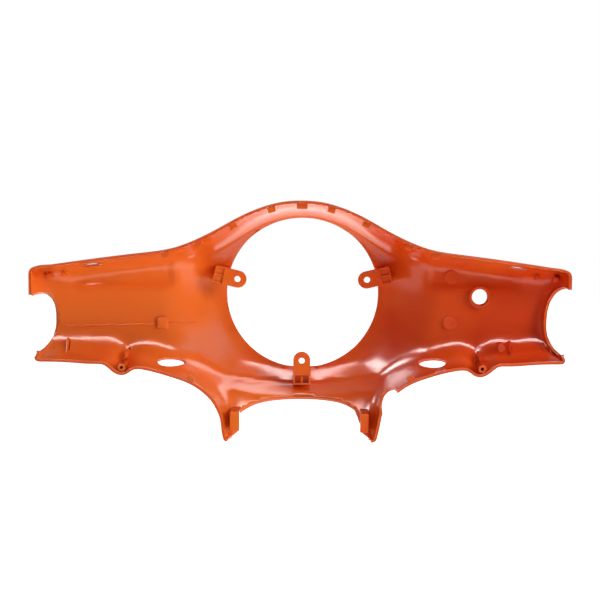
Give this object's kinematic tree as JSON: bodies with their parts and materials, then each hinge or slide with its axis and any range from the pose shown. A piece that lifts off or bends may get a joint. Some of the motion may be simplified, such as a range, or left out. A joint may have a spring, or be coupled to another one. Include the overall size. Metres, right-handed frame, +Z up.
{
  "type": "scooter handlebar front cover",
  "caption": "Thin orange moulded front half of a scooter handlebar cover: round lamp opening with screw tabs, two hollow wings open at the grips, arched chin with legs.",
  "frame": {"origin": "on the headlamp's axis, in the plane of the rear edge where the shell meets the rear cover", "axes": "+X along the handlebar to the rider's right, +Y forward (the outer face's side), +Z up"},
  "size_m": [0.5105, 0.0878, 0.2287],
  "materials": {
    "orange_moulding": "self-coloured orange plastic, polished, with faint flow marks"
  },
  "bodies": {
    "root": {"cable_pad_left": "orange_moulding", "cable_rib_left_inner": "orange_moulding", "cable_rib_left_outer": "orange_moulding", "catch_lower_left": "orange_moulding", "catch_lower_right": "orange_moulding", "catch_top_left_1": "orange_moulding", "catch_top_left_2": "orange_moulding", "catch_top_left_3": "orange_moulding", "catch_top_left_4": "orange_moulding", "catch_top_middle": "orange_moulding", "catch_top_right_1": "orange_moulding", "catch_top_right_2": "orange_moulding", "catch_top_right_3": "orange_moulding", "catch_top_right_4": "orange_moulding", "clip_pad_right_lower": "orange_moulding", "clip_pad_right_upper": "orange_moulding", "ear_rib_left": "orange_moulding", "ear_rib_right": "orange_moulding", "lamp_bracket_bottom": "orange_moulding", "lamp_bracket_left": "orange_moulding", "lamp_bracket_right": "orange_moulding", "lamp_tab_bottom": "orange_moulding", "lamp_tab_left": "orange_moulding", "lamp_tab_right": "orange_moulding", "leg_block_left": "orange_moulding", "leg_block_right": "orange_moulding", "locating_post_left_inner": "orange_moulding", "locating_post_left_outer": "orange_moulding", "locating_post_right_inner": "orange_moulding", "locating_post_right_outer": "orange_moulding", "screw_boss_left": "orange_moulding", "screw_boss_right": "orange_moulding", "screw_post_right_lower": "orange_moulding", "shell_chin": "orange_moulding", "shell_lamp_hood": "orange_moulding", "shell_wing_left": "orange_moulding", "shell_wing_right": "orange_moulding", "stop_rib_left": "orange_moulding", "stop_rib_right": "orange_moulding", "switch_collar_right": "orange_moulding"}
  },
  "joints": []
}
